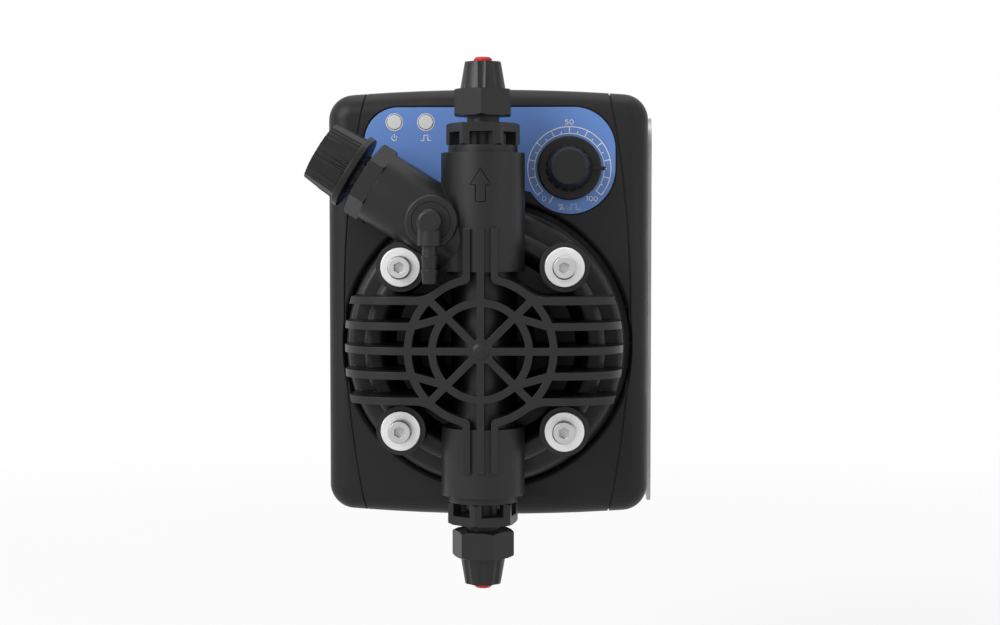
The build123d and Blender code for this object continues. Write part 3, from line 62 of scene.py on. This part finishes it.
class Recipe:
    """One node tree, built from a few helpers."""

    def __init__(self, name, base, roughness, metallic=0.0, specular=0.5):
        self.material = bpy.data.materials.new(name)
        self.material.use_nodes = True
        self.tree = self.material.node_tree
        self.links = self.tree.links
        self.shader = self.tree.nodes["Principled BSDF"]
        self.shader.inputs["Base Color"].default_value = (*base, 1)
        self.shader.inputs["Roughness"].default_value = roughness
        self.shader.inputs["Metallic"].default_value = metallic
        self.shader.inputs["Specular IOR Level"].default_value = specular

    def add(self, kind, **settings):
        node = self.tree.nodes.new(kind)
        for key, value in settings.items():
            setattr(node, key, value)
        return node

    def noise(self, scale, detail=2.0, stretch=(1, 1, 1)):
        place = self.add("ShaderNodeTexCoord")
        mapping = self.add("ShaderNodeMapping")
        mapping.inputs["Scale"].default_value = stretch
        self.links.new(place.outputs["Object"], mapping.inputs["Vector"])
        node = self.add("ShaderNodeTexNoise")
        node.inputs["Scale"].default_value = scale
        node.inputs["Detail"].default_value = detail
        self.links.new(mapping.outputs["Vector"], node.inputs["Vector"])
        return node.outputs["Fac"]

    def ramp(self, fac, low, high, first, last):
        node = self.add("ShaderNodeValToRGB")
        node.color_ramp.elements[0].position = low
        node.color_ramp.elements[0].color = (*first, 1)
        node.color_ramp.elements[1].position = high
        node.color_ramp.elements[1].color = (*last, 1)
        self.links.new(fac, node.inputs["Fac"])
        return node.outputs["Color"]

    def spread(self, fac, low, high, first, last):
        node = self.add("ShaderNodeMapRange")
        for name, value in zip(("From Min", "From Max", "To Min", "To Max"), (low, high, first, last)):
            node.inputs[name].default_value = value
        self.links.new(fac, node.inputs["Value"])
        return node.outputs["Result"]

    def mix(self, fac, first, second):
        node = self.add("ShaderNodeMix", data_type="RGBA")
        self.links.new(fac, node.inputs["Factor"])
        self.links.new(first, node.inputs["A"])
        self.links.new(second, node.inputs["B"])
        return node.outputs["Result"]

    def rounded(self, radius):
        """Normal that rolls over sharp edges, as a moulding's small radius does."""
        node = self.add("ShaderNodeBevel", samples=edge_samples)
        node.inputs["Radius"].default_value = radius
        return node.outputs["Normal"]

    def edges(self, rolled, patches):
        """Mask that is 1 in patches along the edges, where the rolled normal leaves the surface's own."""
        surface = self.add("ShaderNodeNewGeometry")
        turned = self.add("ShaderNodeVectorMath", operation="DOT_PRODUCT")
        self.links.new(rolled, turned.inputs[0])
        self.links.new(surface.outputs["Normal"], turned.inputs[1])
        along = self.spread(turned.outputs["Value"], edge_starts, edge_full, 0.0, 1.0)
        rubbed_and_sheen = self.add("ShaderNodeMath", operation="MULTIPLY")
        self.links.new(along, rubbed_and_sheen.inputs[0])
        self.links.new(self.spread(self.noise(patches, 3), 0.35, 0.65, 0.35, 1.0), rubbed_and_sheen.inputs[1])
        return rubbed_and_sheen.outputs["Value"]

    def bump(self, height, distance, normal):
        node = self.add("ShaderNodeBump")
        node.inputs["Distance"].default_value = distance
        self.links.new(height, node.inputs["Height"])
        self.links.new(normal, node.inputs["Normal"])
        self.links.new(node.outputs["Normal"], self.shader.inputs["Normal"])

    def colour(self, output):
        self.links.new(output, self.shader.inputs["Base Color"])

    def rough(self, output):
        self.links.new(output, self.shader.inputs["Roughness"])


def shade(colour, factor):
    return tuple(min(1.0, channel * factor) for channel in colour)


def moulded(name, base, roughness, grain=4200, grain_height=0.000010, specular=0.4, drift=0.10,
            wear_and_sheen=1.5, edge_r=0.00025, stretch=(1, 1, 1)):
    """Injection-moulded plastic: a slight colour drift, edges rubbed paler (on the label also a painted
    highlight along its rim), fine texture.
    """
    made = Recipe(name, base, roughness, specular=specular)
    rolled = made.rounded(edge_r)
    body = made.ramp(made.noise(45, 3, stretch), 0.32, 0.68, shade(base, 1 - drift), shade(base, 1 + drift))
    # paler edges: wear, and on the label a painted highlight along its rim
    rubbed_and_sheen = made.ramp(made.noise(600, 2), 0.3, 0.7, shade(base, 1 + (wear_and_sheen - 1) / 2), shade(base, wear_and_sheen))
    made.colour(made.mix(made.edges(rolled, 300), body, rubbed_and_sheen))
    made.rough(made.spread(made.noise(90, 3, stretch), 0.3, 0.7, roughness - 0.04, roughness + 0.05))
    made.bump(made.noise(grain, 2), grain_height, rolled)
    return made.material


def metal(name, base, roughness, stretch=(1, 1, 1), grain=1800, grain_height=0.000005, edge_r=0.0002):
    """Bare metal with machining or brushing lines and bright edges."""
    made = Recipe(name, base, roughness, metallic=1.0)
    rolled = made.rounded(edge_r)
    body = made.ramp(made.noise(120, 3), 0.3, 0.7, shade(base, 0.92), shade(base, 1.05))
    bright = made.ramp(made.noise(400, 2), 0.3, 0.7, shade(base, 1.1), shade(base, 1.25))
    made.colour(made.mix(made.edges(rolled, 500), body, bright))
    made.rough(made.spread(made.noise(300, 3, stretch), 0.3, 0.7, roughness - 0.06, roughness + 0.08))
    made.bump(made.noise(grain, 2, stretch), grain_height, rolled)
    return made.material


brushed = (1, 1, 14)           # lines run across Z
drawn = (1, 1, 0.4)            # drift drawn out along Z
smooth_grain = 0.000002        # height of the grain on the smoothest surfaces
finishes = {
    "case_plastic": moulded("case_plastic", (0.0080, 0.0080, 0.0082), 0.43, specular=0.23),
    "head_plastic": moulded(
        "head_plastic", (0.0090, 0.0090, 0.0092), 0.38, specular=0.30, stretch=drawn
    ),
    "knob_plastic": moulded("knob_plastic", (0.0070, 0.0070, 0.0072), 0.40, specular=0.26),
    # the label's paler edges are wear and a painted highlight along its rim
    "label_blue": moulded(
        "label_blue", (0.100, 0.208, 0.510), 0.38,
        grain=2600, grain_height=smooth_grain, drift=0.025, wear_and_sheen=1.35,
    ),
    "lamp_grey": moulded(
        "lamp_grey", (0.57, 0.57, 0.56), 0.32, grain=1500, grain_height=smooth_grain, drift=0.03, wear_and_sheen=1.1
    ),
    "plug_red": moulded("plug_red", (0.52, 0.020, 0.020), 0.48, specular=0.25, drift=0.06, wear_and_sheen=1.15),
    "stainless": metal("stainless", (0.68, 0.68, 0.68), 0.40),
    "bracket_metal": metal("bracket_metal", (0.36, 0.36, 0.37), 0.40, stretch=brushed),
    "steel": metal("steel", (0.42, 0.42, 0.43), 0.38),
    "copper": metal("copper", (0.60, 0.26, 0.11), 0.36, stretch=brushed),
    "bobbin_plastic": moulded("bobbin_plastic", (0.32, 0.30, 0.26), 0.5, wear_and_sheen=1.2),
    "board_green": moulded("board_green", (0.025, 0.14, 0.06), 0.42, wear_and_sheen=1.2),
    "elastomer": moulded("elastomer", (0.010, 0.010, 0.010), 0.62, specular=0.3),
    "ptfe": moulded("ptfe", (0.74, 0.73, 0.70), 0.5, drift=0.04, wear_and_sheen=1.05),
    "ceramic": moulded(
        "ceramic", (0.78, 0.77, 0.74), 0.24, grain_height=smooth_grain, drift=0.03, wear_and_sheen=1.05
    ),
    "bronze": metal("bronze", (0.50, 0.35, 0.17), 0.42),
}
sharp_above = radians(32)
for part in frame["record"]["subparts"]:
    mesh = nodes[part["node"]].data
    mesh.materials.clear()
    mesh.materials.append(finishes[part["material_slot"]])
    mesh.shade_smooth()
    mesh.set_sharp_from_angle(angle=sharp_above)
screw_steel = metal("screw_steel", (0.47, 0.47, 0.47), 0.42)
nodes["head_screws"].data.materials[0] = screw_steel

# ---------------------------------------------------------------- return spring, a copy on a mesh of its own
spring = bpy.data.objects.new("spring_coils", nodes["return_spring"].data.copy())
scene.collection.objects.link(spring)
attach(spring, "pump")
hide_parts("return_spring")
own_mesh(spring)

# ---------------------------------------------------------------- print on the label
face_depth = 88.0 * MM         # the label's face
ink_sunk = 0.02 * MM
ink_proud = 0.03 * MM
ink_line = 0.30 * MM
dial_centre = (25.51 * MM, 54.44 * MM)
scale_outer_r = 12.84 * MM
scale_inner_r = 10.77 * MM
scale_end = 130                # degrees either side of the top
scale_steps = 10
half_tick = 0.70 * MM
lamp_centres = [(-28.7 * MM, 68.75 * MM), (-18.9 * MM, 68.75 * MM)]
lamp_ring_r = (2.42 * MM, 2.72 * MM)
scale_ring_steps = 104
lamp_ring_steps = 48
glyph_stroke = 0.27 * MM


def ink(name, colour):
    """Matt screen print."""
    return moulded(name, colour, 0.42, grain=3000, grain_height=0.000003, drift=0.04, wear_and_sheen=1.05)


white_ink = ink("white_ink", (0.72, 0.73, 0.76))
blue_ink = ink("blue_ink", (0.42, 0.50, 0.70))


def printed(name, outlines, ink):
    """Thin raised print on the label from closed outlines of (x, z) points, each a flat face pulled up."""
    sheet = bmesh.new()
    for outline in outlines:
        low = [sheet.verts.new((x, ink_sunk - face_depth, z)) for x, z in outline]
        high = [sheet.verts.new((x, -face_depth - ink_proud, z)) for x, z in outline]
        sheet.faces.new(low)
        sheet.faces.new(list(reversed(high)))
        for here, there in zip(range(len(outline)), list(range(1, len(outline))) + [0]):
            sheet.faces.new((low[here], high[here], high[there], low[there]))
    bmesh.ops.recalc_face_normals(sheet, faces=sheet.faces)
    mesh = bpy.data.meshes.new(name)
    sheet.to_mesh(mesh)
    sheet.free()
    mesh.materials.append(ink)
    piece = bpy.data.objects.new(name, mesh)
    scene.collection.objects.link(piece)
    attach(piece, "pump")


def polar(centre, radius, degrees_from_top):
    turn = radians(degrees_from_top)
    return (centre[0] + radius * sin(turn), centre[1] + radius * cos(turn))


def band(centre, inner, outer, start, end, steps):
    """Quads along a ring between two angles."""
    turns = [start + (end - start) * step / steps for step in range(steps + 1)]
    return [
        [polar(centre, inner, a), polar(centre, outer, a), polar(centre, outer, b), polar(centre, inner, b)]
        for a, b in zip(turns, turns[1:])
    ]


def stroke(start, end, width):
    """Bar from point to point."""
    way = Vector((end[0] - start[0], end[1] - start[1]))
    side = Vector((-way.y, way.x)).normalized() * width / 2
    return [
        (start[0] + side.x, start[1] + side.y),
        (end[0] + side.x, end[1] + side.y),
        (end[0] - side.x, end[1] - side.y),
        (start[0] - side.x, start[1] - side.y),
    ]


def trail(points, width):
    """Bars along a path that share mitred corners."""
    spots = [Vector(point) for point in points]
    ways = [(there - here).normalized() for here, there in zip(spots, spots[1:])]
    sides = []
    for spot, before, after in zip(spots, ways[:1] + ways, ways + ways[-1:]):
        across = Vector((-before.y - after.y, before.x + after.x)).normalized()
        reach = width / 2 / across.dot(Vector((-before.y, before.x)))
        sides.append((spot + across * reach, spot - across * reach))
    return [
        [tuple(here[0]), tuple(there[0]), tuple(there[1]), tuple(here[1])]
        for here, there in zip(sides, sides[1:])
    ]


half_line = ink_line / 2
scale_print = []
for ring in (scale_outer_r, scale_inner_r):
    ring_end = scale_end + degrees(half_line / ring)
    scale_print += band(
        dial_centre, ring - half_line, ring + half_line, -ring_end, ring_end, scale_ring_steps
    )
printed("dial_scale_rings", scale_print, white_ink)
step_deg = 2 * scale_end / scale_steps
ticks_from = scale_inner_r + half_line
ticks_to = scale_outer_r - half_line
ticks = []
for step in range(scale_steps + 1):
    turn = -scale_end + step * step_deg
    ticks.append(stroke(polar(dial_centre, ticks_from, turn), polar(dial_centre, ticks_to, turn), ink_line))
    if step < scale_steps:
        middle = turn + step_deg / 2
        tick_end = polar(dial_centre, ticks_from + half_tick, middle)
        ticks.append(stroke(polar(dial_centre, ticks_from, middle), tick_end, ink_line))
printed("dial_scale_ticks", ticks, white_ink)
for number, centre in enumerate(lamp_centres, 1):
    printed(f"lamp_ring_{number}", band(centre, *lamp_ring_r, 0, 360, lamp_ring_steps), white_ink)


def oval(centre, width, height, line, steps=28):
    """Ring of quads round an ellipse."""
    points = [
        [
            (
                centre[0] + (width / 2 - inset) * cos(2 * pi * step / steps),
                centre[1] + (height / 2 - inset) * sin(2 * pi * step / steps),
            )
            for step in range(steps + 1)
        ]
        for inset in (0, line)
    ]
    outer, inner = points
    return [[inner[i], outer[i], outer[i + 1], inner[i + 1]] for i in range(steps)]


def moved(points, centre, size):
    """Glyph points, given in units of its height about its middle, put on the label."""
    return [(centre[0] + x * size, centre[1] + z * size) for x, z in points]


def zero(centre, height):
    return oval(centre, 0.80 * height, height, glyph_stroke)


def one(centre, height):
    return trail(moved([(-0.16, 0.34), (0.06, 0.42), (0.06, -0.42)], centre, height), glyph_stroke)


def five(centre, height):
    crown = [(0.25, 0.42), (-0.18, 0.42), (-0.23, 0.08)]
    bowl = [(0.29 * cos(radians(t)) - 0.04, 0.28 * sin(radians(t)) - 0.14) for t in range(100, -141, -20)]
    return trail(moved(crown + bowl, centre, height), glyph_stroke)


def percent(centre, height):
    bowl = 0.42 * height
    bowls = [
        oval((centre[0] + side * 0.27 * height, centre[1] - side * 0.25 * height), bowl, bowl, glyph_stroke)
        for side in (-1, 1)
    ]
    return bowls[0] + bowls[1] + trail(moved([(-0.20, -0.46), (0.20, 0.46)], centre, height), glyph_stroke)


# middles of the digits and signs round the dial
number_height = 1.66 * MM
five_of_50 = (24.70 * MM, 68.68 * MM)
zero_of_50 = (26.17 * MM, 68.68 * MM)
zero_alone = (17.65 * MM, 45.07 * MM)
one_of_100 = (31.02 * MM, 45.09 * MM)
zeros_of_100 = [(32.17 * MM, 45.09 * MM), (33.62 * MM, 45.09 * MM)]
slash_low = (19.29 * MM, 43.71 * MM)
slash_high = (20.84 * MM, 46.25 * MM)
percent_centre = (23.0 * MM, 42.57 * MM)
percent_height = 2.15 * MM

printed("number_50", five(five_of_50, number_height) + zero(zero_of_50, number_height), white_ink)
printed("number_0", zero(zero_alone, number_height), white_ink)
hundred = one(one_of_100, number_height)
for middle_of_zero in zeros_of_100:
    hundred += zero(middle_of_zero, number_height)
printed("number_100", hundred, white_ink)
printed("dial_slash", [stroke(slash_low, slash_high, ink_line)], white_ink)
printed("sign_percent", percent(percent_centre, percent_height), white_ink)


def pulse(left, base, width, height):
    """Square pulse: low, up, across, down, low."""
    third = width * 0.31
    path = [
        (left, base),
        (left + third, base),
        (left + third, base + height),
        (left + width - third, base + height),
        (left + width - third, base),
        (left + width, base),
    ]
    return trail(path, glyph_stroke)


pulse_height = 1.6 * MM
dial_pulse_left = 24.72 * MM
dial_pulse_base = 41.76 * MM
dial_pulse_width = 4.19 * MM
lamp_pulse_width = 3.2 * MM
sign_z = 63.9 * MM             # middle of the signs under the lamps
on_r = 0.95 * MM
on_open = 38                   # degrees either side of the top
on_steps = 32
on_bar = 1.2 * MM

printed("sign_pulse", pulse(dial_pulse_left, dial_pulse_base, dial_pulse_width, pulse_height), blue_ink)
on_centre = (lamp_centres[0][0], sign_z)
on_sign = band(on_centre, on_r - glyph_stroke, on_r, on_open, 360 - on_open, on_steps)
on_sign.append(stroke(on_centre, (on_centre[0], sign_z + on_bar), glyph_stroke))
printed("sign_on", on_sign, white_ink)
lamp_pulse_left = lamp_centres[1][0] - lamp_pulse_width / 2
lamp_pulse_base = sign_z - pulse_height / 2
printed("sign_stroke", pulse(lamp_pulse_left, lamp_pulse_base, lamp_pulse_width, pulse_height), white_ink)

# ---------------------------------------------------------------- stage, light and camera
floor_z = -0.14
floor_r = 2.5
floor_segments = 96
floor_clear_r = (0.25, 0.9)    # the floor fades from its own colour to plain white between these
floor_near_white = 0.78        # share of plain white inside the first
ambient_strength = 0.6
white_strength = 1.0           # where camera, mirror or glass sees the surroundings
white_light = (1, 1, 1, 1)
pump_middle = Vector((0.0, -0.06, 0.013))


def camera_sees(tree):
    """1 where the camera, a mirror or glass looks straight at the surface."""
    ray = tree.nodes.new("ShaderNodeLightPath")
    total = ray.outputs["Is Camera Ray"]
    for other in ("Is Glossy Ray", "Is Transmission Ray"):
        either = tree.nodes.new("ShaderNodeMath")
        either.operation = "MAXIMUM"
        tree.links.new(total, either.inputs[0])
        tree.links.new(ray.outputs[other], either.inputs[1])
        total = either.outputs["Value"]
    return total


def white_floor():
    """Pale floor that keeps the shadow near the pump and turns plain white further out."""
    made = Recipe("floor_white", (0.86, 0.86, 0.86), 0.9, specular=0.1)
    made.colour(made.ramp(made.noise(6, 3), 0.3, 0.7, (0.84, 0.84, 0.84), (0.88, 0.88, 0.88)))
    place = made.add("ShaderNodeTexCoord")
    distance = made.add("ShaderNodeVectorMath", operation="LENGTH")
    made.links.new(place.outputs["Object"], distance.inputs[0])
    far = made.spread(distance.outputs["Value"], *floor_clear_r, floor_near_white, 1.0)
    seen = made.add("ShaderNodeMath", operation="MULTIPLY")
    made.links.new(camera_sees(made.tree), seen.inputs[0])
    made.links.new(far, seen.inputs[1])
    glow = made.add("ShaderNodeEmission")
    glow.inputs["Strength"].default_value = white_strength
    glow.inputs["Color"].default_value = white_light
    both = made.add("ShaderNodeMixShader")
    made.links.new(seen.outputs["Value"], both.inputs["Fac"])
    made.links.new(made.shader.outputs["BSDF"], both.inputs[1])
    made.links.new(glow.outputs["Emission"], both.inputs[2])
    made.links.new(both.outputs["Shader"], made.tree.nodes["Material Output"].inputs["Surface"])
    return made.material


floor_mesh = bpy.data.meshes.new("floor")
floor_sheet = bmesh.new()
bmesh.ops.create_circle(floor_sheet, cap_ends=True, segments=floor_segments, radius=floor_r)
floor_sheet.to_mesh(floor_mesh)
floor_sheet.free()
floor_mesh.materials.append(white_floor())
floor = bpy.data.objects.new("floor", floor_mesh)
floor.location = (pump_middle.x, pump_middle.y, floor_z)
scene.collection.objects.link(floor)


def soft_light(name, place, width, height, watts):
    """Area lamp that faces the pump."""
    data = bpy.data.lights.new(name, "AREA")
    data.shape = "RECTANGLE"
    data.size = width
    data.size_y = height
    data.energy = watts
    lamp = bpy.data.objects.new(name, data)
    lamp.location = place
    lamp.rotation_euler = (pump_middle - lamp.location).to_track_quat("-Z", "Y").to_euler()
    scene.collection.objects.link(lamp)


# place, width and height in metres, power in watts
soft_light("key", (-0.65, -0.80, 0.50), 0.6, 0.6, watts=8.5)
soft_light("fill", (0.80, -0.60, 0.30), 0.6, 0.9, watts=0.8)
soft_light("top", (0.0, -0.02, 0.90), 0.9, 0.5, watts=2.0)

world = bpy.data.worlds.new("studio")
scene.world = world
world.use_nodes = True
world_tree = world.node_tree
ambient = world_tree.nodes["Background"]
ambient.inputs["Strength"].default_value = ambient_strength
ambient.inputs["Color"].default_value = white_light
white = world_tree.nodes.new("ShaderNodeBackground")
white.inputs["Strength"].default_value = white_strength
white.inputs["Color"].default_value = white_light
either_world = world_tree.nodes.new("ShaderNodeMixShader")
world_tree.links.new(camera_sees(world_tree), either_world.inputs["Fac"])
world_tree.links.new(ambient.outputs["Background"], either_world.inputs[1])
world_tree.links.new(white.outputs["Background"], either_world.inputs[2])
world_tree.links.new(either_world.outputs["Shader"], world_tree.nodes["World Output"].inputs["Surface"])

camera_place = (31.94 * MM, -661.99 * MM, 37.92 * MM)
camera_yaw = 2.78              # degrees towards -X
camera_pitch = 2.80            # degrees below level
sensor_mm = 36
lens_mm = 66.70
camera_near = 0.01
camera_data = bpy.data.cameras.new("camera")
camera_data.sensor_width = sensor_mm
camera_data.lens = lens_mm
camera_data.clip_start = camera_near
camera = bpy.data.objects.new("camera", camera_data)
camera.location = camera_place
camera.rotation_euler = (radians(90 - camera_pitch), 0, radians(camera_yaw))
scene.collection.objects.link(camera)
scene.camera = camera
scene.view_settings.view_transform = "Standard"
